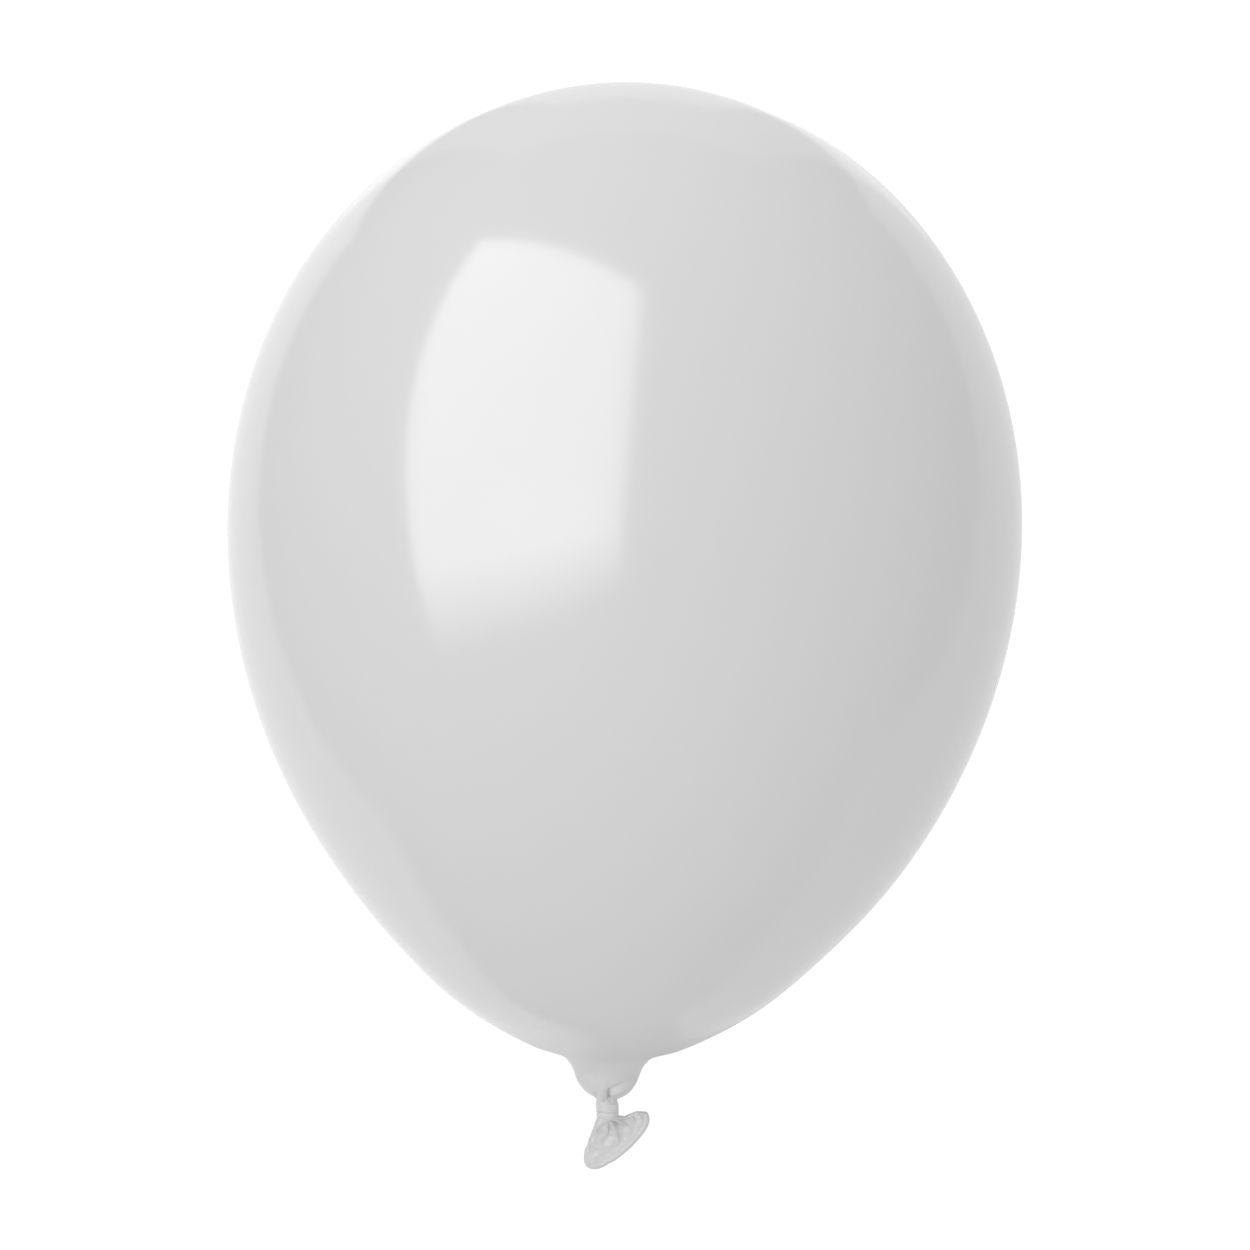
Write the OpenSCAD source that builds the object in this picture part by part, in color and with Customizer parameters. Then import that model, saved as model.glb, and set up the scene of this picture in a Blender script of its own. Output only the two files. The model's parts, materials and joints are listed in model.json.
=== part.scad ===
// A round latex balloon, blown up to its rated size and tied in its own neck.
// Millimetres. The origin is the middle of the waist, the gathered neck between the throat
// and the knot, where a ribbon is tied. +Z runs up the axis to the crown, and the flattened
// tail leans from the knot towards +X with its two walls facing -Y and +Y.

/* [Envelope] */
// Diameter at the widest ring
envelope_d = 300; // [260:5:320]
// Length from the crown to the point where the drop outline would close
envelope_l = 371; // [340:1:390]
// How pointed the lower end is: 0 is an ellipse
taper = 0.28; // [0.2:0.01:0.36]
// How far the widest ring is pushed towards the neck
belly_drop = 3.7; // [2:0.1:6]
// Wall thickness of the blown-up film and of the tail
film = 0.4; // [0.3:0.05:0.5]

/* [Neck] */
// Radius of the round throat under the envelope
throat_r = 12.4; // [11.8:0.1:13]
// Height of the throat's centre above the waist
throat_z = 10.9; // [10.4:0.1:11.2]
// Radius of the gathered film at the waist
waist_r = 3.2; // [3:0.1:3.4]

/* [Knot] */
// Outer radius of the knot
knot_r = 4.4; // [4.2:0.1:4.8]
// Height of each of the knot's two turns
turn_h = 2.8; // [2.6:0.1:2.9]
// Radius of the neck strand that runs down through the knot
strand_r = 1.6; // [1.3:0.1:1.8]

/* [Tail] */
// Lean of the tail from straight down, towards +X
tail_lean = 39; // [30:1:45]
// Width of the flattened mouth
mouth_w = 28.5; // [27:0.5:30]
// Length of the tail from the knot to the middle of the mouth
tail_l = 14; // [13.5:0.1:15]
// Thickness of the bead that is rolled round the mouth
bead_d = 1.8; // [1.4:0.1:2]

/* [Hidden] */
$fn = 96;
latex = [0.86, 0.86, 0.86];
gap = 0.2;                          // clearance between pieces that move on each other
seat = 0.05;                        // clearance between pieces that only touch

// Envelope: crown at 0 degrees of the drop outline, closed tip at 180.
tip_z = 11.4;                       // height of the closed tip above the waist
drop_step = 2.5;                    // degrees of the outline between its points
join_angle = 167;                   // where the outline turns into the collar
widest = 2 * atan(1 / sqrt(1 + taper));
widest_r = sin(widest) * pow(cos(widest / 2), taper);

// Collar: an S-curve between the envelope and the round of the throat.
shoulder_angle = -16;               // on the throat, below its own centre
shoulder_pull = 5;                  // length of the curve's handle at the throat
join_pull = 5;                      // length of the curve's handle at the envelope
collar_steps = 16;
collar_split = 7;                   // step of the S-curve where the envelope ends

// Knot
turn_overlap = 0.2;
turn_bulge = (knot_r - strand_r - seat) / 2;
turn_ring_r = knot_r - turn_bulge;
knot_top = -2.9;
body_z = knot_top - turn_h / 2;
band_z = body_z - turn_h + turn_overlap;
knot_bottom = band_z - turn_h / 2;
strand_end = knot_bottom + 3;       // the strand stops above the ball of the tail's root

// Tail: pleats and skirt start at the pivot under the knot.
pivot_r = 2.3;
skirt_start = 0.25;                 // share of the way from the knot to the mouth
skirt_rings = 8;
run_steps = 18;                     // points along each wall of the flattened tail
turn_steps = 6;                     // points round each of its two edges
exit_w = 3.2;                       // width of the straight part of the bundle at the knot
exit_r = 2.6;                       // half its thickness
mouth_r = 1.15;                     // half the distance between the mouth's two walls
mouth_shift = -1.3;                 // the mouth's middle, off the tail's own axis
mouth_edge = 8.1;                   // distance of the mouth's two corners below the knot
mouth_skew = -0.3;                  // the corner towards +X hangs this much lower
mouth_power = 2.6;                  // squareness of the mouth's round edge
bead_sides = 10;
pleat_root_r = 0.7;                 // radius of each pleat at the knot
pleat_tip_r = 0.9;                  // and at its far end, between the skirt's walls
pleats = [[-38, 6.6], [-14, 5.4], [9, 5.2]]; // [degrees across the tail, length]

// ---- Points and curves ----

function unit(v) = v / norm(v);
function reversed(list) = [for (i = [len(list) - 1 : -1 : 0]) list[i]];
function bezier(a, b, c, d, t) =
    pow(1 - t, 3) * a + 3 * pow(1 - t, 2) * t * b + 3 * (1 - t) * t * t * c + t * t * t * d;

// The points moved by d to the right of the way they run, each across its neighbours.
function moved(points, d) =
    [for (i = [0 : len(points) - 1])
        let (way = unit(points[min(i + 1, len(points) - 1)] - points[max(i - 1, 0)]))
        points[i] + d * [way.y, -way.x]];

// [radius, height] on the drop outline.
function drop(t) =
    [envelope_d / 2 * sin(t) * pow(cos(t / 2), taper) / widest_r,
     tip_z - belly_drop + envelope_l / 2 * (1 + cos(t)) + belly_drop * cos(2 * t)];

function on_throat(angle) = [throat_r * cos(angle), throat_z + throat_r * sin(angle)];

join = drop(join_angle);
join_way = unit(drop(join_angle + 0.1) - join);
shoulder = on_throat(shoulder_angle);
shoulder_way = [-sin(shoulder_angle), cos(shoulder_angle)];
collar = [for (i = [0 : collar_steps])
    bezier(join, join + join_pull * join_way, shoulder + shoulder_pull * shoulder_way,
           shoulder, i / collar_steps)];

// The envelope turns on the throat about the middle of the collar.
collar_edge = collar[collar_split];
nod_z = collar_edge.y;
seat_r = collar_edge.x - film - gap;

// ---- Solids of revolution ----

// A film whose outside follows the points, from the top down, turned round the axis.
module turned_film(points) {
    inside = moved(points, film);
    ends_on_axis = points[0].x < 0.001;
    rotate_extrude()
        polygon(concat(points, reversed(ends_on_axis
            ? concat([points[0] - [0, film]], [for (i = [1 : len(inside) - 1]) inside[i]])
            : inside)));
}

module envelope() {
    color(latex)
        turned_film(concat(
            [for (t = [0 : drop_step : join_angle - drop_step / 2]) drop(t)],
            [for (i = [0 : collar_split]) collar[i]]));
}

module throat() {
    seat_top = 22;                  // degrees that the seat reaches up inside the envelope
    seat_steps = 8;
    round_steps = 14;
    rim = waist_r + gap + film * 0.6;   // the film's inner edge clears the ball of the waist
    // where the round of the throat comes that near the middle of the waist
    rim_z = (rim * rim - throat_r * throat_r + throat_z * throat_z) / (2 * throat_z);
    rim_angle = asin((rim_z - throat_z) / throat_r);
    color(latex)
        turned_film(concat(
            [for (i = [0 : seat_steps])
                let (a = seat_top * (1 - i / seat_steps))
                [seat_r * cos(a), nod_z + seat_r * sin(a)]],
            [for (p = collar) if (p.y < nod_z && norm(p - [0, nod_z]) < seat_r) p],
            [for (i = [1 : round_steps])
                on_throat(shoulder_angle + (rim_angle - shoulder_angle) * i / round_steps)]));
}

// One turn of the neck round the strand, as a ring with an oval section.
module turn(z) {
    rotate_extrude()
        polygon([for (a = [0 : 10 : 350])
            [turn_ring_r + turn_bulge * cos(a), z + turn_h / 2 * sin(a)]]);
}

module neck_strand() {
    color(latex) {
        sphere(r = waist_r);
        translate([0, 0, strand_end])
            cylinder(r = strand_r, h = -strand_end);
    }
}

module knot_body() {
    color(latex) turn(body_z);
}

module knot_band() {
    color(latex)
        difference() {
            turn(band_z);
            turn(body_z - seat);
            translate([0, 0, knot_bottom])
                sphere(r = pivot_r + gap);
        }
}

// ---- Tail ----

// From the tail's own axes, with -Z along it, to the balloon's.
function in_tail(p) =
    [p.x * cos(tail_lean) - p.z * sin(tail_lean), p.y,
     knot_bottom + p.x * sin(tail_lean) + p.z * cos(tail_lean)];
function signed_pow(x, e) = sign(x) * pow(abs(x), e);

// Middle lines of the flattened tube, from its left edge to its right one.
exit_line = [for (i = [0 : run_steps])
    [exit_w * (i / run_steps - 0.5), 0, knot_bottom]];
mouth_line = [for (i = [0 : run_steps])
    let (a = 180 * (1 - i / run_steps),
         across = signed_pow(cos(a), 2 / mouth_power),
         down = pow(sin(a), 2 / mouth_power))
    in_tail([mouth_shift + (mouth_w / 2 - bead_d / 2) * across, 0,
             -mouth_edge - mouth_skew * across - (tail_l - mouth_edge) * down])];

// A closed ring at distance r from a middle line: along the front wall, round the right
// edge, back along the rear wall and round the left edge.
function ring(line, r, left, right) =
    let (n = len(line) - 1, front = [0, -1, 0])
    concat(
        [for (p = line) p + r * front],
        [for (k = [1 : turn_steps - 1]) let (b = 180 * k / turn_steps)
            line[n] + r * (cos(b) * front + sin(b) * right)],
        [for (p = reversed(line)) p - r * front],
        [for (k = [1 : turn_steps - 1]) let (b = 180 * k / turn_steps)
            line[0] + r * (sin(b) * left - cos(b) * front)]);

up = in_tail([0, 0, 1]) - in_tail([0, 0, 0]);
function exit_ring(r) = ring(exit_line, r, [-1, 0, 0], [1, 0, 0]);
function mouth_ring(r) = ring(mouth_line, r, up, up);

// The film's ring at a share of the way from the knot to the bead, moved out by d.
function skirt_ring(share, d) =
    let (from = exit_ring(exit_r + d), to = mouth_ring(mouth_r + d))
    [for (i = [0 : len(from) - 1])
        let (run = to[i] - from[i], whole = norm(run) - bead_d / 2 - film / 2)
        from[i] + unit(run) * whole * share];

// A solid through closed rings of equal length, the last of which joins the first.
module loft(rings) {
    n = len(rings);
    m = len(rings[0]);
    function at(i, j) = (i % n) * m + j % m;
    polyhedron(
        points = [for (r = rings) for (p = r) p],
        faces = [for (i = [0 : n - 1], j = [0 : m - 1], half = [0, 1])
            half == 0 ? [at(i, j), at(i + 1, j), at(i + 1, j + 1)]
                      : [at(i, j), at(i + 1, j + 1), at(i, j + 1)]]);
}

module tail_root() {
    color(latex)
        translate([0, 0, knot_bottom])
            sphere(r = pivot_r);
}

module tail_gather() {
    color(latex)
        difference() {
            for (p = pleats)
                translate([0, 0, knot_bottom])
                    rotate([0, 180 - tail_lean - p[0], 0])
                        cylinder(r1 = pleat_root_r, r2 = pleat_tip_r, h = p[1]);
            translate([0, 0, knot_bottom])
                sphere(r = pivot_r + gap);
        }
}

module tail_skirt() {
    shares = [for (i = [0 : skirt_rings]) skirt_start + (1 - skirt_start) * i / skirt_rings];
    color(latex)
        loft(concat([for (s = shares) skirt_ring(s, film / 2)],
                    [for (s = reversed(shares)) skirt_ring(s, -film / 2)]));
}

module rolled_lip() {
    line = mouth_ring(mouth_r);
    from = exit_ring(exit_r);
    n = len(line);
    color(latex)
        loft([for (i = [0 : n - 1])
            let (along = unit(line[(i + 1) % n] - line[(i + n - 1) % n]),
                 side = unit(cross(along, line[i] - from[i])),
                 out = cross(side, along))
            [for (k = [0 : bead_sides - 1]) let (a = 360 * k / bead_sides)
                line[i] + bead_d / 2 * (cos(a) * out + sin(a) * side)]]);
}

envelope();
throat();
neck_strand();
knot_body();
knot_band();
tail_root();
tail_gather();
tail_skirt();
rolled_lip();
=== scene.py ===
"""A round white latex balloon, blown up and tied in its own neck.

Lengths in the shape code are millimetres and become metres in add_mesh(). The origin is the waist,
+Z runs up to the crown, and the camera looks along +Y, so the front of the balloon faces -Y.
"""

import json
import math

import bpy
import numpy as np
from mathutils import Matrix, Vector


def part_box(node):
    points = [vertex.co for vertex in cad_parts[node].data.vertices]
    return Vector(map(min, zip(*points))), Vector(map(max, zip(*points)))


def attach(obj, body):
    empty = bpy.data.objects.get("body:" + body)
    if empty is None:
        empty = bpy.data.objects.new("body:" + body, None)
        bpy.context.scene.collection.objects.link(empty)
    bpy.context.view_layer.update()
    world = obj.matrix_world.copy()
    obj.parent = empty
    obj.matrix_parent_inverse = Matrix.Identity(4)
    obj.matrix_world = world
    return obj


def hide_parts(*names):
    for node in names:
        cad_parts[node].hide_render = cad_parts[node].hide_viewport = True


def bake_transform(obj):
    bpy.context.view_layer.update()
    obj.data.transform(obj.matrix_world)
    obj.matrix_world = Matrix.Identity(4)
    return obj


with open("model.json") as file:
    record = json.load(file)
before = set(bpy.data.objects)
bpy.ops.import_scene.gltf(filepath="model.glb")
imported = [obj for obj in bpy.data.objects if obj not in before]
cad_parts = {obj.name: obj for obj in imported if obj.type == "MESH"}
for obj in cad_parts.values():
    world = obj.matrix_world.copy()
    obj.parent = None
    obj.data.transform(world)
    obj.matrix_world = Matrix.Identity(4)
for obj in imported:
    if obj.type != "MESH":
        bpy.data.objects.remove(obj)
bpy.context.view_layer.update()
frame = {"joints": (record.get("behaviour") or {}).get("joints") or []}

MM = 0.001

# ---- Driving sizes, taken from the frame ----

envelope_low, envelope_high = (np.array(corner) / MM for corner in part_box("envelope"))
CROWN_Z = envelope_high[2]
ENVELOPE_R = (envelope_high[0] - envelope_low[0]) / 2 - 0.5
KNOT_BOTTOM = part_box("knot_band")[0].z / MM
TAIL_JOINT = next(joint for joint in frame["joints"] if joint["name"] == "tail_flap")
TAIL_LEAN = math.atan2(TAIL_JOINT["axis"][2], TAIL_JOINT["axis"][0])


# ---- Small maths ----

def smooth(low, high, x):
    """0 below low, 1 above high, and a smooth step between them."""
    t = np.clip((x - low) / (high - low), 0, 1)
    return t * t * (3 - 2 * t)


def unit(v):
    return v / np.linalg.norm(v, axis=-1, keepdims=True)


def full_turn(count):
    """count angles all the way round, in radians."""
    return np.linspace(0, 2 * math.pi, count, endpoint=False)


def curve(points, count):
    """count points, evenly spaced, on a smooth curve through the given ones."""
    p = np.array(points, float)
    p = np.vstack([2 * p[0] - p[1], p, 2 * p[-1] - p[-2]])
    found = []
    for a, b, c, d in zip(p, p[1:], p[2:], p[3:]):
        for t in np.linspace(0, 1, 24, endpoint=False):
            found.append(0.5 * (2 * b + (c - a) * t + (2 * a - 5 * b + 4 * c - d) * t ** 2
                                + (3 * b - a - 3 * c + d) * t ** 3))
    found = np.array(found + [p[-2]])
    run = np.concatenate([[0], np.cumsum(np.linalg.norm(np.diff(found, axis=0), axis=1))])
    at = np.linspace(0, run[-1], count)
    return np.stack([np.interp(at, run, found[:, k]) for k in range(p.shape[1])], 1)


def near(points, line):
    """For each point its distance to the line, and how far along the line that is, 0 to 1."""
    line = np.array(line, float)
    run = np.concatenate([[0], np.cumsum(np.linalg.norm(np.diff(line, axis=0), axis=1))])
    best = np.full(points.shape[:-1], np.inf)
    along = np.zeros(points.shape[:-1])
    for k, (a, b) in enumerate(zip(line, line[1:])):
        t = np.clip(((points - a) @ (b - a)) / ((b - a) @ (b - a)), 0, 1)
        distance = np.linalg.norm(points - (a + t[..., None] * (b - a)), axis=-1)
        closer = distance < best
        best = np.where(closer, distance, best)
        along = np.where(closer, (run[k] + t * (run[k + 1] - run[k])) / run[-1], along)
    return best, along


def stroke(points, line, width, height, ends=(0, 0)):
    """A soft ridge, or a groove where height is below 0, along the line.
    ends gives the share of the height that is left at the line's two ends."""
    line = curve(line, 24) if len(line) > 2 else line
    distance, along = near(points, line)
    fade = np.where(along < 0.5, ends[0] + (1 - ends[0]) * smooth(0, 0.5, along),
                    ends[1] + (1 - ends[1]) * smooth(0, 0.5, 1 - along))
    return height * fade * np.exp(-(distance / width) ** 2)


def waves(points, size, seed, octaves=3):
    """Smooth unevenness between about -1 and 1, with bumps of about size mm."""
    draw = np.random.default_rng(seed)
    total = np.zeros(points.shape[:-1])
    weight = 0
    for octave in range(octaves):
        scale = 2 ** octave
        for direction in unit(draw.normal(size=(5, 3))):
            phase = draw.uniform(0, 2 * math.pi)
            total += np.sin(points @ direction * (math.pi * scale / size) + phase) / scale
        weight += 2.2 / scale
    return total / weight


def normals_of(rings):
    """Outward normals of a grid of rings that close round the second axis."""
    around = np.roll(rings, -1, 1) - np.roll(rings, 1, 1)
    down = np.gradient(rings, axis=0)
    n = np.cross(down, around)
    length = np.linalg.norm(n, axis=2, keepdims=True)
    return n / np.maximum(length, 1e-9)


# ---- Meshes ----

def add_mesh(name, points, faces):
    """A smooth piece from points in millimetres."""
    mesh = bpy.data.meshes.new(name)
    mesh.from_pydata((np.array(points) * MM).tolist(), [], faces)
    mesh.update()
    mesh.shade_smooth()
    piece = bpy.data.objects.new(name, mesh)
    bpy.context.scene.collection.objects.link(piece)
    return piece


def rings_to_mesh(name, rings, closed=False):
    """A closed surface through rings of points. The first and last ring end in a cap, or they
    join each other where closed is true."""
    count, around, _ = rings.shape
    index = np.arange(count * around).reshape(count, around)
    faces = []
    for i in range(count if closed else count - 1):
        a, b = index[i], index[(i + 1) % count]
        a1, b1 = np.roll(a, -1), np.roll(b, -1)
        faces += np.stack([a, b, b1, a1], 1).tolist()
    points = rings.reshape(-1, 3)
    if not closed:
        first, last = len(points), len(points) + 1
        points = np.vstack([points, rings[0].mean(0), rings[-1].mean(0)])
        faces += [[first, int(a), int(b)] for a, b in zip(index[0], np.roll(index[0], -1))]
        faces += [[last, int(b), int(a)] for a, b in zip(index[-1], np.roll(index[-1], -1))]
    return add_mesh(name, points, faces)


# ---- Skin: envelope and throat, one film ----

TIP_Z = 10.5            # where the drop outline would close, above the waist
BELLY_DROP = 3.8        # how far the widest ring is pushed towards the neck
TAPER = 0.32            # how pointed the lower end is
JOIN_ANGLE = 167        # where the drop outline turns into the collar, in degrees from the crown
THROAT_R = 12.4
THROAT_Z = 10.9
SHOULDER_ANGLE = -16    # where the collar meets the round of the throat
HANDLE = 5              # length of the collar curve's two handles
WAIST_R = 3.6
FULLER = 1.9            # how much fuller the film is just above the collar,
FULLER_Z = 33           # where it's fullest,
FULLER_REACH = 15       # and how far up and down from there it goes
SHARPER = 2.8           # the same for the sharp turn at the collar, which draws the film in
SHARPER_Z = 15.6
SHARPER_REACH = 1.6
SOFTENING = 260         # how many times the outline is averaged for the front and back
ENVELOPE_SHIFT = 1.45   # the neck isn't quite under the middle of the envelope


def drop(angle):
    """Radius and height on the drop outline, at angles from the crown in radians."""
    widest = 2 * math.atan(1 / math.sqrt(1 + TAPER))
    scale = ENVELOPE_R / (math.sin(widest) * math.cos(widest / 2) ** TAPER)
    length = CROWN_Z - TIP_Z
    return np.stack([scale * np.sin(angle) * np.cos(angle / 2) ** TAPER,
                     TIP_Z - BELLY_DROP + length / 2 * (1 + np.cos(angle))
                     + BELLY_DROP * np.cos(2 * angle)], -1)


def on_throat(angle):
    return np.stack([THROAT_R * np.cos(angle), THROAT_Z + THROAT_R * np.sin(angle)], -1)


def skin_outline():
    """Radius and height of the film from the crown to its end inside the knot."""
    envelope = drop(np.radians(np.linspace(0.25, JOIN_ANGLE, 260)))
    join = envelope[-1]
    join_way = unit(drop(np.radians(JOIN_ANGLE + 0.1)) - join)
    shoulder = on_throat(np.radians(SHOULDER_ANGLE))
    shoulder_way = np.array([-math.sin(np.radians(SHOULDER_ANGLE)),
                             math.cos(np.radians(SHOULDER_ANGLE))])
    t = np.linspace(0, 1, 30)[1:-1, None]
    collar = ((1 - t) ** 3 * join + 3 * (1 - t) ** 2 * t * (join + HANDLE * join_way)
              + 3 * (1 - t) * t ** 2 * (shoulder + HANDLE * shoulder_way) + t ** 3 * shoulder)
    bottom_angle = -math.acos((WAIST_R + 1.4) / THROAT_R)
    bulb = on_throat(np.linspace(np.radians(SHOULDER_ANGLE), bottom_angle, 60))
    waist = curve([bulb[-1], (WAIST_R + 0.5, -0.55), (WAIST_R, -1.3), (WAIST_R - 0.3, -3.4)], 16)
    outline = np.vstack([envelope, collar, bulb, waist[1:]])
    # the film is fuller just above the collar, and turns down into it sharply
    z = outline[:, 1]
    outline[:, 0] += (FULLER * np.exp(-((z - FULLER_Z) / FULLER_REACH) ** 2)
                      - SHARPER * np.exp(-((z - SHARPER_Z) / SHARPER_REACH) ** 2))
    low = np.argmax(outline[:, 1] < 60)
    return np.vstack([outline[:low], even(curve(outline[low:], 230), 6)])


def even(line, times, weight=1):
    """The line with its corners rounded off, more so the more times it's averaged."""
    line = line.copy()
    for _ in range(times):
        line[1:-1] += weight * (line[:-2] - 2 * line[1:-1] + line[2:]) / 4
    return line


def on_front(x, z, outline):
    """The point of the throat that shows at x, z from the front."""
    lower = outline[outline[:, 1] < 20][::-1]
    r = np.interp(z, lower[:, 1], lower[:, 0])
    return [x, -math.sqrt(max(r * r - x * x, 0)), z]


def make_skin():
    outline = skin_outline()
    turn = full_turn(320)
    # the film turns down into the throat more softly at the front and back than at the sides
    collar = smooth(9, 12, outline[1:-1, 1:]) * (1 - smooth(50, 60, outline[1:-1, 1:]))
    soft = even(outline, SOFTENING, collar)
    share = smooth(0.25, 0.9, np.abs(np.sin(turn)))
    r, z = (outline[:, k:k + 1] * (1 - share) + soft[:, k:k + 1] * share for k in (0, 1))
    rings = np.stack([r * np.cos(turn), r * np.sin(turn), z], 2)
    normal = normals_of(rings)
    z = rings[..., 2]

    move = 0.08 * smooth(25, 70, z) * waves(rings, 110, seed=3, octaves=2)

    # the pleats that gather the throat into the waist
    gathered = 1 - smooth(0.5, 9, z)
    pleats = (np.cos(9 * turn + 0.7) + 0.7 * np.cos(14 * turn + 2.1 + 0.15 * z)
              + 0.4 * np.cos(5 * turn + 4.0))
    move += 0.16 * gathered ** 2 * pleats
    move += 0.10 * (1 - smooth(14, 24, z)) * waves(rings, 7, seed=5)

    def front(line):
        return [on_front(x, height, outline) for x, height in line]

    near_throat = z < 24
    spot = rings[near_throat]
    sculpt = stroke(spot, front([(-0.9, 8.5), (-1.4, 3), (-1.5, -0.6)]), 1.2, 1.2, (0, 1))
    sculpt += stroke(spot, front([(0.9, 3.6), (0.75, 2.0), (0.8, -0.4)]), 0.55, -1.9, (0.3, 1))
    sculpt += stroke(spot, front([(0.9, 3.3), (4.4, 4.9), (8.4, 7.2)]), 0.8, -1.3, (1, 0.1))
    sculpt += stroke(spot, front([(1.9, 1.5), (5.4, 3.5), (10.2, 6.6)]), 0.95, 1.15, (0.7, 0.8))
    sculpt += stroke(spot, front([(-6.4, 9.2), (-5.2, 7.6)]), 1.9, -0.6, (1, 1))
    sculpt += stroke(spot, front([(-4.2, 3.4), (-3.2, 0.4)]), 0.9, -0.35, (0, 1))
    sculpt += stroke(spot, [(-6.5, 0, 0.2), (-10.2, 0, 3.0)], 2.4, -1.2, (0.9, 0.6))
    sculpt += stroke(spot, [(-3.0, 6.0, 6.5), (-2.4, 4.6, 1.6), (-2.0, 3.6, -0.4)], 0.6, -1.3, (0, 1))
    sculpt += stroke(spot, [(3.4, 7.0, 5.0), (1.9, 4.8, 1.6), (1.2, 3.6, -0.4)], 1.1, 0.9, (0, 1))
    move[near_throat] += sculpt

    rings = rings + move[..., None] * normal
    rings[..., 0] += ENVELOPE_SHIFT * smooth(30, 90, z)
    return rings_to_mesh("balloon_skin", rings)


# ---- Knot: a barrel of wound film, its wrap, and the rope of neck inside it ----

# Radius and middle of the barrel, by height.
BARREL = [(0.3, 2.2, 0), (-0.2, 3.0, -0.1), (-0.8, 3.6, -0.05), (-2.0, 4.05, 0.15), (-3.5, 4.25, 0.35),
          (-5.2, 4.2, 0.45), (-6.4, 4.1, 0.6), (-7.6, 3.8, 0.75), (-8.6, 3.4, 0.8), (-9.3, 2.0, 0.8)]
WRAP_TOP = -5.75
WRAP_BOTTOM = -8.7
# Section of the wrap: how far out it is, and how far down from its top edge to its bottom one.
WRAP_SECTION = [(-1.0, 0.12), (-0.45, 0.03), (0.1, 0.01), (0.5, 0.04), (0.78, 0.11), (0.95, 0.22),
                (1.0, 0.36), (0.92, 0.56), (0.68, 0.76), (0.3, 0.92), (-0.3, 1.0), (-1.0, 0.96)]
DEPTH = 0.93            # the knot is a little flatter from front to back
ROPE_R = 1.5


def barrel_at(z):
    """Radius and sideways middle of the barrel at heights z."""
    line = curve(BARREL, 200)[::-1]
    return np.interp(z, line[:, 0], line[:, 1]), np.interp(z, line[:, 0], line[:, 2])


def on_barrel(angle, z):
    """A point of the barrel's face. The angle is in degrees from the front, to the right."""
    r, middle = barrel_at(z)
    a = math.radians(angle)
    return [middle + r * math.sin(a), -r * DEPTH * math.cos(a), z]


def barrel_line(*steps):
    return [on_barrel(angle, z) for angle, z in steps]


def make_barrel():
    line = curve(BARREL, 110)
    turn = full_turn(200)
    z, r, middle = (line[:, k:k + 1] for k in range(3))
    rings = np.stack([middle + r * np.cos(turn), DEPTH * r * np.sin(turn), z + 0 * turn], 2)
    normal = normals_of(rings)
    shown = 1 - smooth(-1.2, 0.2, rings[..., 2])
    move = 0.10 * waves(rings, 3.2, seed=11) * shown
    # the film comes down over the front in one broad fold, with the gathers of the neck beside it
    move += stroke(rings, barrel_line((-14, 0.2), (-12, -2), (-8, -4.8)), 1.5, 0.35, (1, 0.2))
    move += stroke(rings, barrel_line((30, -0.4), (22, -1.3), (17, -2.2)), 0.35, -0.5, (1, 0.2))
    move += stroke(rings, barrel_line((17, -2.2), (32, -2.4), (50, -2.2)), 0.35, -0.4, (0.2, 0.2))
    move += stroke(rings, barrel_line((24, -2.9), (40, -3.0), (58, -2.6)), 0.5, 0.3, (0.3, 0.3))
    move += stroke(rings, barrel_line((-52, -0.4), (-50, -2.4), (-46, -4.6)), 0.5, -0.25, (1, 0))
    # at the back one turn crosses over the other on the slant
    move += stroke(rings, barrel_line((110, -1.2), (150, -2.4), (190, -4.0), (235, -5.0)), 1.1, 0.6,
                   (0.1, 0.1))
    move += stroke(rings, barrel_line((112, -2.9), (150, -4.0), (188, -5.5)), 0.4, -0.5, (0.2, 0.2))
    move += stroke(rings, barrel_line((145, -0.3), (180, -1.6), (225, -2.9)), 0.4, -0.5, (0.6, 0.1))
    move += stroke(rings, barrel_line((262, -0.3), (258, -2.0), (252, -3.9)), 0.5, -0.35, (1, 0))
    return rings_to_mesh("knot_barrel", rings + move[..., None] * normal)


def make_wrap():
    """The last turn round the knot: a flat strap with a crisp top edge, proud at the front left."""
    turn = full_turn(200)
    right = np.degrees(np.arctan2(np.cos(turn), -np.sin(turn)))       # 0 at the front
    proud = 0.06 + 0.68 * smooth(-80, -45, right) * (1 - smooth(8, 55, right))
    proud += 0.45 * smooth(115, 150, np.abs(right))
    top = WRAP_TOP + 0.35 * smooth(100, 170, np.abs(right))
    rings = []
    for out, down in curve(WRAP_SECTION, 40):
        z = top + (WRAP_BOTTOM - top) * down
        r, middle = barrel_at(z)
        reach = r + np.where(out > 0, out * proud, 0.9 * out)
        rings.append(np.stack([middle + reach * np.cos(turn), DEPTH * reach * np.sin(turn), z], 1))
    rings = np.array(rings)
    move = 0.05 * waves(rings, 3, seed=21)
    return rings_to_mesh("knot_wrap", rings + move[..., None] * normals_of(rings), closed=True)


def make_rope():
    """The gathered neck film that runs down inside the knot."""
    turn = full_turn(48)
    z = np.linspace(0.4, -7.2, 30)[:, None]
    r = ROPE_R + 0.12 * np.cos(7 * turn + z)
    return rings_to_mesh("neck_rope", np.stack([r * np.cos(turn), r * np.sin(turn), z + 0 * turn], 2))


# ---- Tail: the flattened sleeve below the knot, and the rolled lip at its mouth ----

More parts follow.
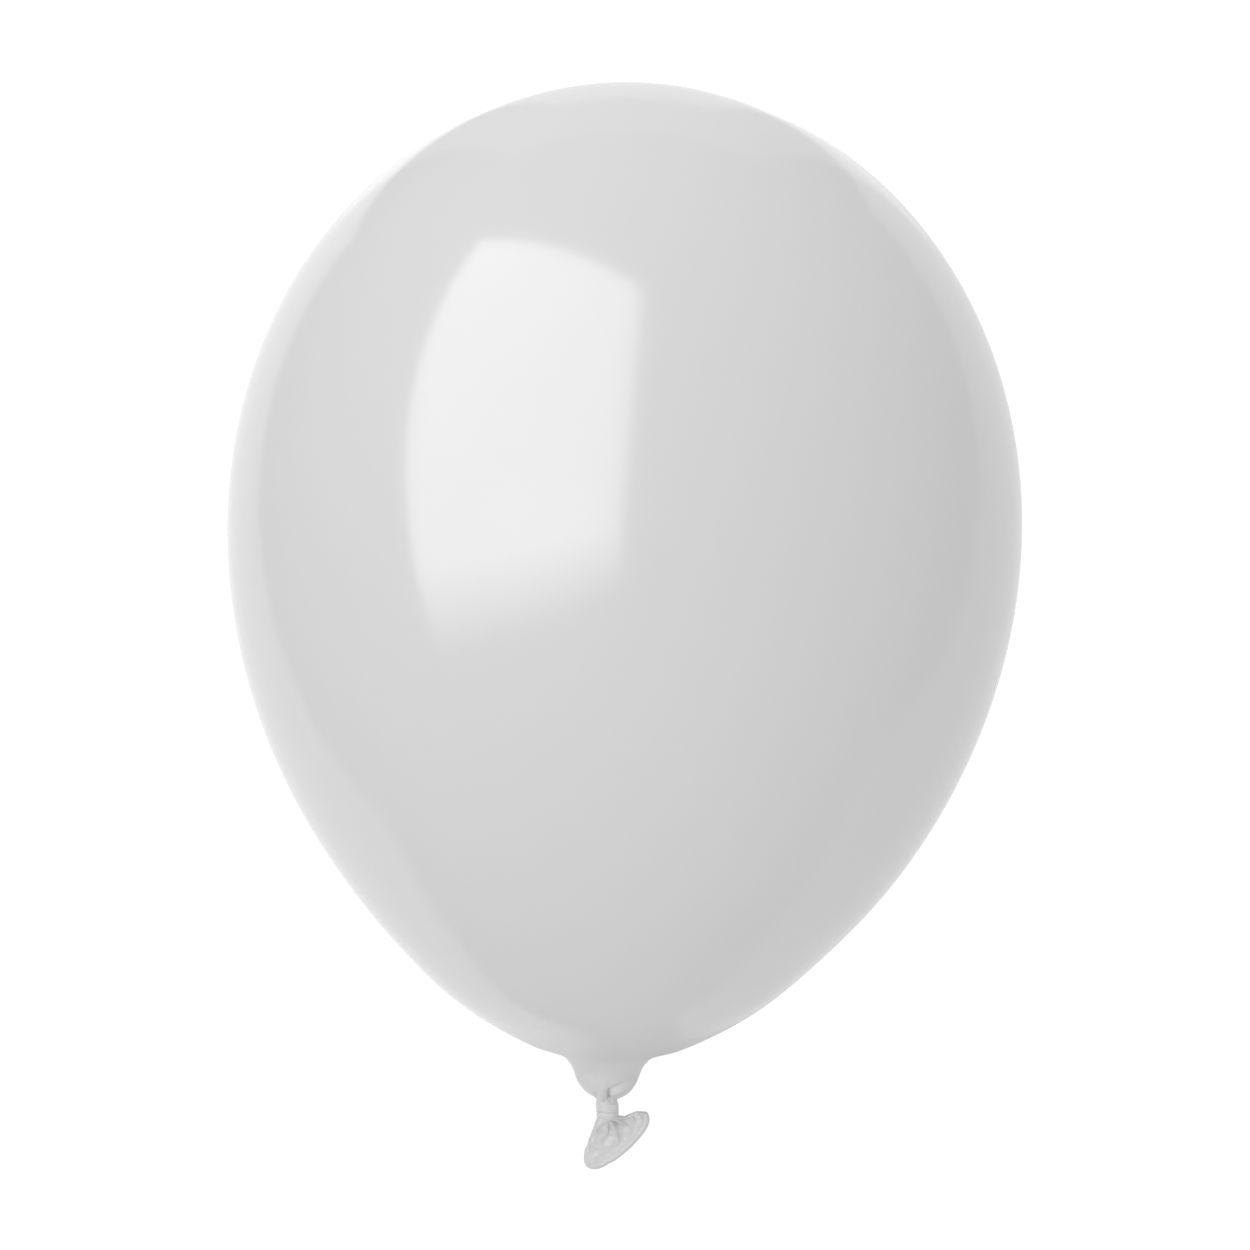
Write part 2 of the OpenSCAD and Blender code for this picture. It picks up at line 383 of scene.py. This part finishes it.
# Outlines in the plane of the tail: across it, and down it from the joint under the knot.
TAIL_LEFT = [(-2.3, -2.5), (-3.7, -1.6), (-5.1, -0.6), (-8.1, 1.3), (-10.1, 2.4), (-11.3, 3.6),
             (-13.8, 4.7), (-15.4, 6.6)]
TAIL_RIGHT = [(4.3, 2.3), (6.2, 3.75), (9.2, 4.6), (10.9, 5.0), (12.1, 6.2)]
TAIL_MOUTH = [(-15.4, 6.6), (-15.9, 8.4), (-15.8, 10.2), (-14.8, 11.5), (-12.6, 12.6), (-9.2, 13.2),
              (-6.8, 13.6), (-4, 13.7), (-0.4, 13.6), (2.9, 13.1), (6.3, 12.4), (8.8, 11.7),
              (11.0, 10.6), (12.4, 9.3), (12.8, 7.7), (12.1, 6.2)]
TAIL_FILM = 0.35
KNOT_HALF = 2.9         # half the sleeve's depth where it leaves the knot
MOUTH_HALF = 1.75
LIP_R = 1.05
LIP_FLAT = 0.75         # the rolled edge is pressed a little flat
LIP_INSET = 0.55        # how far inside the film's edge the middle of the bead runs
ROOT_DEPTH = 2.6        # how far the sleeve's closed root goes up into the knot
ROOT_ANGLES = np.radians(np.arange(84, 0, -12))
OPEN_FROM = 35          # the ring of the sleeve that its hollow inside starts at

ACROSS = np.array([math.cos(TAIL_LEAN), 0, math.sin(TAIL_LEAN)])
DOWN = np.array([math.sin(TAIL_LEAN), 0, -math.cos(TAIL_LEAN)])
TAIL_AT = np.array([0, 0, KNOT_BOTTOM])


def tail_plane(u, v):
    """Across and down, for u from the left edge to the right and v from the knot to the mouth."""
    def along(line, t):
        line = curve(line, 200)
        at = np.linspace(0, 1, 200)
        return np.stack([np.interp(t, at, line[:, 0]), np.interp(t, at, line[:, 1])], -1)
    left, right = along(TAIL_LEFT, v), along(TAIL_RIGHT, v)
    root, mouth = along([TAIL_LEFT[0], TAIL_RIGHT[0]], u), along(TAIL_MOUTH, u)
    u, v = u[..., None], v[..., None]
    corners = ((1 - u) * (1 - v) * np.array(TAIL_LEFT[0]) + u * (1 - v) * np.array(TAIL_RIGHT[0])
               + (1 - u) * v * np.array(TAIL_LEFT[-1]) + u * v * np.array(TAIL_RIGHT[-1]))
    return (1 - u) * left + u * right + (1 - v) * root + v * mouth - corners


def make_tail():
    """The sleeve, outside and inside, with the loop that its lip follows and the way out there."""
    turn = full_turn(320)
    v = np.linspace(0, 1, 110)[:, None] + 0 * turn
    side = np.sign(np.cos(turn)) * np.abs(np.cos(turn)) ** 0.8
    face = np.sign(np.sin(turn)) * np.abs(np.sin(turn)) ** 0.8
    flat = tail_plane((1 + side) / 2 + 0 * v, v)
    half = MOUTH_HALF + (KNOT_HALF - MOUTH_HALF) * (1 - smooth(-0.15, 0.75, v))
    depth = half * face
    outer = (TAIL_AT + flat[..., :1] * ACROSS + flat[..., 1:] * DOWN
             + depth[..., None] * np.array([0, 1, 0]))
    normal = normals_of(outer)

    front, back = face < -0.02, face > 0.02

    def fold(*arguments):
        return stroke(flat, *arguments)

    move = 0.16 * smooth(0, 0.3, v) * waves(outer, 4.5, seed=31)
    move += 0.10 * smooth(0, 0.3, v) * (1 - smooth(0.85, 1, v)) * waves(outer, 1.8, seed=32)
    drawn = fold([(0.2, 1.0), (-1.1, 0.8), (-2.5, 0.6), (-3.9, 1.0)], 0.4, 0.8, (0.7, 0.2))
    drawn += fold([(-3.2, -0.4), (-4.8, 0.6), (-5.7, 1.7), (-6.1, 3.2)], 0.7, 0.75, (0.6, 0.2))
    drawn += fold([(-2.4, -0.6), (-5.6, 1.2), (-8.2, 3.0), (-10.4, 4.4)], 0.8, 0.45, (0.4, 0.2))
    drawn += fold([(-3.0, 1.6), (-4.2, 3.6), (-5.0, 5.4)], 0.9, -0.45, (0.4, 0.2))
    drawn += fold([(0.2, 1.8), (-0.8, 3.4), (-1.6, 4.9), (-3.0, 5.9)], 0.6, -1.3, (0.5, 0.3))
    drawn += fold([(-3.4, 5.9), (-5.4, 6.4), (-7.3, 6.3)], 1.1, -0.5, (0.8, 0.2))
    drawn += fold([(0.8, 1.2), (0.6, 4.2), (-0.2, 6.6), (-0.8, 8.4), (-1.5, 9.8)], 0.5, 1.3, (0.7, 0.4))
    drawn += fold([(-3.5, 7.4), (-3.6, 8.4)], 0.8, 0.25, (0.6, 0.6))
    drawn += fold([(1.6, 2.4), (2.1, 4.3), (2.3, 5.8)], 0.55, -1.3, (0.5, 0.2))
    drawn += fold([(2.5, 2.4), (3.4, 4.0), (4.2, 5.6), (4.9, 7.4)], 0.5, 1.1, (0.6, 0.3))
    drawn += fold([(2.6, 6.0), (3.9, 7.6)], 0.8, -0.5, (1, 0.2))
    drawn += fold([(0.3, 8.4), (1.0, 10.8)], 1.0, -0.45, (0.8, 0.4))
    drawn += fold([(3.9, 3.3), (7.0, 4.7), (9.8, 5.9)], 0.55, -0.55, (1, 0.2))
    drawn += fold([(-11.4, 5.4), (-10.8, 7.4)], 0.9, -0.5, (1, 1))
    drawn += fold([(8.8, 6.0), (8.7, 7.3)], 0.5, -0.35, (1, 1))
    drawn += fold([(10.3, 6.6), (10.4, 8.8)], 0.6, 0.35, (1, 1))
    behind = fold([(-1.6, 0.2), (-4.0, 3.0), (-7.4, 6.0), (-10.4, 9.6)], 0.8, 0.9, (0.8, 0.1))
    behind += fold([(-0.4, 1.6), (-2.2, 5.0), (-4.2, 9.4)], 0.8, -1.1, (0.9, 0.1))
    behind += fold([(0.8, 2.0), (0.2, 5.2), (-0.6, 10.2)], 0.7, 0.8, (0.8, 0.2))
    behind += fold([(2.2, 2.2), (3.0, 5.0), (4.0, 9.0)], 0.8, -1.0, (1, 0.1))
    behind += fold([(3.4, 2.6), (5.8, 5.4), (8.2, 9.0)], 0.7, 0.8, (0.8, 0.1))
    behind += fold([(-3.6, 0.4), (-8.2, 3.6), (-12.4, 7.6)], 0.7, -0.6, (0.6, 0.2))
    folded = smooth(0, 0.06, v) * (1 - smooth(0.93, 1, v))
    move += folded * np.where(front, drawn, 0) + folded * np.where(back, behind, 0)
    outer = outer + move[..., None] * normal

    # the inside, one film thickness in, and the round root that stays hidden in the knot
    normal = normals_of(outer)
    inner = (outer - TAIL_FILM * normal)[OPEN_FROM:][::-1]
    middle = outer[0].mean(0)
    root = [middle + (outer[0] - middle) * math.cos(a) - DOWN * ROOT_DEPTH * math.sin(a)
            for a in ROOT_ANGLES]
    rings = np.concatenate([root, outer, inner])
    return rings_to_mesh("tail_sleeve", rings), outer[-1] - LIP_INSET * normal[-1], normal[-1]


def make_lip(loop, out):
    """The bead: the film's edge rolled on itself, all round the mouth."""
    way = unit(np.roll(loop, -1, 0) - np.roll(loop, 1, 0))
    side = unit(np.cross(way, out))
    size = LIP_R * (1 + 0.06 * waves(loop, 5, seed=41))[:, None]
    rings = np.array([loop + size * (math.cos(a) * side + LIP_FLAT * math.sin(a) * out)
                      for a in full_turn(20)])
    return rings_to_mesh("lip_bead_roll", rings, closed=True)


# ---- Materials ----

DULL = 0.42             # roughness of film that isn't stretched
# below these heights the skin's colour also fades into the painted shade of the neck
SLACK_TOP = 0.015       # the skin's film is slack up to here, in metres,
TIGHT_FROM = 0.034      # and stretched tight above here


def latex(name, shade, roughness, grain, grain_depth, neck_painted_shade=None):
    """Natural rubber film: a pale, slightly cloudy body under a smooth skin with a fine grain.
    The film at the neck end is stretched less, so it shines less there; where a neck shade is given the
    film there also takes that darker colour, which is painted shade on the throat."""
    material = bpy.data.materials.new(name)
    material.use_nodes = True
    nodes, links = material.node_tree.nodes, material.node_tree.links
    shader = nodes["Principled BSDF"]
    place = nodes.new("ShaderNodeTexCoord")

    cloud = nodes.new("ShaderNodeTexNoise")
    cloud.inputs["Scale"].default_value = 22
    cloud.inputs["Detail"].default_value = 3
    links.new(place.outputs["Object"], cloud.inputs["Vector"])
    tint = nodes.new("ShaderNodeMix")
    tint.data_type = "RGBA"
    tint.inputs["A"].default_value = (shade * 0.985, shade * 0.985, shade * 0.985, 1)
    tint.inputs["B"].default_value = (shade, shade, shade, 1)
    links.new(cloud.outputs["Fac"], tint.inputs["Factor"])
    body = tint.outputs["Result"]
    shader.inputs["Roughness"].default_value = roughness
    shader.inputs["IOR"].default_value = 1.5
    # painted shade: towards the neck end the film's colour is mixed into a darker shade, and its
    # roughness rises
    if neck_painted_shade:
        split = nodes.new("ShaderNodeSeparateXYZ")
        links.new(place.outputs["Object"], split.inputs["Vector"])
        height = nodes.new("ShaderNodeMapRange")
        height.interpolation_type = "SMOOTHSTEP"
        height.inputs["From Min"].default_value = SLACK_TOP
        height.inputs["From Max"].default_value = TIGHT_FROM
        links.new(split.outputs["Z"], height.inputs["Value"])
        painted_neck_mix = nodes.new("ShaderNodeMix")
        painted_neck_mix.data_type = "RGBA"
        painted_neck_mix.inputs["A"].default_value = (neck_painted_shade, neck_painted_shade, neck_painted_shade, 1)
        links.new(body, painted_neck_mix.inputs["B"])
        links.new(height.outputs["Result"], painted_neck_mix.inputs["Factor"])
        body = painted_neck_mix.outputs["Result"]
        shine = nodes.new("ShaderNodeMix")
        shine.inputs["A"].default_value = DULL
        shine.inputs["B"].default_value = roughness
        links.new(height.outputs["Result"], shine.inputs["Factor"])
        links.new(shine.outputs["Result"], shader.inputs["Roughness"])
    links.new(body, shader.inputs["Base Color"])

    fine = nodes.new("ShaderNodeTexNoise")
    fine.inputs["Scale"].default_value = grain
    fine.inputs["Detail"].default_value = 4
    links.new(place.outputs["Object"], fine.inputs["Vector"])
    bump = nodes.new("ShaderNodeBump")
    bump.inputs["Strength"].default_value = 1
    bump.inputs["Distance"].default_value = grain_depth
    links.new(fine.outputs["Fac"], bump.inputs["Height"])
    links.new(bump.outputs["Normal"], shader.inputs["Normal"])
    return material


# the skin's neck end takes a darker colour, 0.695 against 0.72: painted shade on the throat
FILM = latex("stretched_film", 0.72, 0.14, 260, 0.000004, neck_painted_shade=0.695)
KNOT_FILM = latex("knot_film", 0.72, DULL, 900, 0.00006)
SLACK = latex("tail_film", 0.675, DULL, 900, 0.00006)
BEAD = latex("rolled_film", 0.66, 0.38, 700, 0.00004)


# ---- Pieces ----

skin = make_skin()
barrel = make_barrel()
wrap = make_wrap()
rope = make_rope()
sleeve, mouth, mouth_out = make_tail()
bead = make_lip(mouth, mouth_out)

for piece, material, slot in ((skin, FILM, "envelope_film"), (barrel, KNOT_FILM, "knot_film"),
                              (wrap, KNOT_FILM, "knot_film"), (rope, KNOT_FILM, "neck_film"),
                              (sleeve, SLACK, "tail_film"), (bead, BEAD, "lip_bead")):
    piece.data.materials.append(material)

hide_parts("envelope", "throat")
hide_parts("knot_body")
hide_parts("knot_band")
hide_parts("neck_strand")
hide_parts("tail_root", "tail_gather", "tail_skirt")
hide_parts("rolled_lip")

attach(barrel, "knot")
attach(wrap, "knot")
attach(rope, "neck")
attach(bead, "tail")
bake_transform(skin)
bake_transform(sleeve)


# ---- Camera, light and floor ----

CAMERA_DISTANCE = 1.5
AIM = Vector((0.0025, 0, 0.1781))
CAMERA_ROLL = 1.43      # degrees; the balloon leans a little to the right
LENS = 114.35
FLOOR_Z = -0.3
FLOOR_R = 1.4
FLOOR_THICK = 0.01
ROOM = 0.733            # how bright the room is beside white, where it shades the film
ROOM_SHINE = 0.52       # and where it shows in the shine
SOFTBOX = (1.154, 1.592)
SOFTBOX_AT = (-0.378, -0.798, 0.661)
SOFTBOX_FACING = (0.683, 0.689, -0.241)
SOFTBOX_ROLL = 7.6
SOFTBOX_GAP = 0.004     # between its parts, from front to back
# How much narrower and shorter than SOFTBOX each part is.
SOFTBOX_STEPS = [(-0.01, -0.05), (0, 0.03), (0.02, 0.11), (0.07, 0.20)]
# The powers of the lights, in watts.
POWER_BOX = 23.3
POWER_LEFT_CARD = 11.5
POWER_RIGHT_CARD = 8.4
POWER_TOP_CARD_LOW = 0.6
POWER_TOP_CARD_HIGH = 1.44
POWER_KEY = 1.55
POWER_TOP = 7.0
POWER_LOW = 10.8


def make_camera():
    camera = bpy.data.objects.new("camera", bpy.data.cameras.new("camera"))
    camera.data.lens = LENS
    camera.data.sensor_width = 36
    camera.data.clip_end = 100
    place = Matrix.Translation(AIM - Vector((0, CAMERA_DISTANCE, 0)))
    camera.matrix_world = (place @ Matrix.Rotation(math.radians(90), 4, "X")
                           @ Matrix.Rotation(math.radians(CAMERA_ROLL), 4, "Z"))
    bpy.context.scene.collection.objects.link(camera)
    bpy.context.scene.camera = camera


def soft_light(name, place, facing, width, height, power, shows, roll=0, shift=(0, 0, 0)):
    """A large soft source, which either shades the film or shows as a reflection in its shine.
    shift moves it along its own axes."""
    light = bpy.data.lights.new(name, "AREA")
    light.shape = "RECTANGLE"
    light.size, light.size_y = width, height
    light.energy = power
    source = bpy.data.objects.new(name, light)
    turn = Vector(facing).to_track_quat("-Z", "Y").to_matrix().to_4x4()
    source.matrix_world = (Matrix.Translation(Vector(place)) @ turn
                           @ Matrix.Rotation(math.radians(roll), 4, "Z")
                           @ Matrix.Translation(shift))
    source.visible_camera = False
    source.visible_glossy = shows == "shine"
    source.visible_diffuse = shows == "shade"
    bpy.context.scene.collection.objects.link(source)


def make_lights():
    # the softbox fades out towards its bottom and right edges, so it's made of overlapping parts
    # of equal brightness that share their left and top edges, one just behind the other
    for part, (less_width, less_height) in enumerate(SOFTBOX_STEPS):
        width, height = SOFTBOX[0] - less_width, SOFTBOX[1] - less_height
        power = POWER_BOX * width * height / (SOFTBOX[0] * SOFTBOX[1] * len(SOFTBOX_STEPS))
        soft_light(f"softbox_{part}", SOFTBOX_AT, SOFTBOX_FACING, width, height, power, "shine",
                   roll=SOFTBOX_ROLL, shift=(-less_width / 2, less_height / 2, SOFTBOX_GAP * part))
    soft_light("left_card", (-0.89, 1.60, -0.25), (0.485, -0.875, 0.22), 2.1, 3.3, POWER_LEFT_CARD,
               "shine", roll=16)
    soft_light("right_card", (1.105, 1.53, -0.03), (-0.63, -0.77, 0.26), 2.1, 3.8, POWER_RIGHT_CARD,
               "shine", roll=-24)
    soft_light("top_card_low", (0, 1.62, 0.95), (0, -0.90, -0.43), 0.6, 1.5,
               POWER_TOP_CARD_LOW, "shine")
    soft_light("top_card_high", (0, 1.25, 1.40), (0, -0.67, -0.74), 1.4, 1.7,
               POWER_TOP_CARD_HIGH, "shine")
    soft_light("key", (-0.9, -1.2, 1.1), (0.6, 0.7, -0.45), 1.4, 1.4, POWER_KEY, "shade")
    soft_light("top", (-0.2, 0.2, 1.7), (0.1, -0.1, -1), 1.8, 1.8, POWER_TOP, "shade")
    soft_light("low", (-0.98, -2.25, -0.07), (0.39, 0.90, 0.10), 1.2, 1.2, POWER_LOW, "shade")


def make_world():
    """A room that lights the balloon evenly. Its far wall is white, and the others are pale grey."""
    world = bpy.data.worlds.new("studio")
    bpy.context.scene.world = world
    world.use_nodes = True
    nodes, links = world.node_tree.nodes, world.node_tree.links

    room = nodes["Background"]
    room.inputs["Color"].default_value = (1, 1, 1, 1)
    room.inputs["Strength"].default_value = ROOM
    place = nodes.new("ShaderNodeTexCoord")
    split = nodes.new("ShaderNodeSeparateXYZ")
    links.new(place.outputs["Generated"], split.inputs["Vector"])
    far = nodes.new("ShaderNodeMapRange")
    far.interpolation_type = "SMOOTHSTEP"
    for name, value in (("From Min", 0.70), ("From Max", 0.95), ("To Min", 0.72), ("To Max", 1.05)):
        far.inputs[name].default_value = value
    links.new(split.outputs["Y"], far.inputs["Value"])
    walls = nodes.new("ShaderNodeBackground")
    walls.inputs["Color"].default_value = (1, 1, 1, 1)
    links.new(far.outputs["Result"], walls.inputs["Strength"])
    shine = nodes.new("ShaderNodeBackground")
    shine.inputs["Color"].default_value = (1, 1, 1, 1)
    shine.inputs["Strength"].default_value = ROOM_SHINE
    path = nodes.new("ShaderNodeLightPath")
    lit = room.outputs["Background"]
    for ray, seen in (("Is Glossy Ray", shine), ("Is Camera Ray", walls)):
        either = nodes.new("ShaderNodeMixShader")
        links.new(path.outputs[ray], either.inputs["Fac"])
        links.new(lit, either.inputs[1])
        links.new(seen.outputs["Background"], either.inputs[2])
        lit = either.outputs["Shader"]
    links.new(lit, nodes["World Output"].inputs["Surface"])


def make_floor():
    bpy.ops.mesh.primitive_cylinder_add(vertices=160, radius=FLOOR_R, depth=FLOOR_THICK,
                                        location=(0, 0, FLOOR_Z - FLOOR_THICK / 2))
    floor = bpy.context.object
    floor.name = "floor"
    material = bpy.data.materials.new("pale_floor")
    material.use_nodes = True
    shader = material.node_tree.nodes["Principled BSDF"]
    shader.inputs["Base Color"].default_value = (0.8, 0.8, 0.8, 1)
    shader.inputs["Roughness"].default_value = 0.9
    floor.data.materials.append(material)
    floor.visible_glossy = False


make_camera()
make_lights()
make_world()
make_floor()
bpy.context.scene.view_settings.view_transform = "Standard"
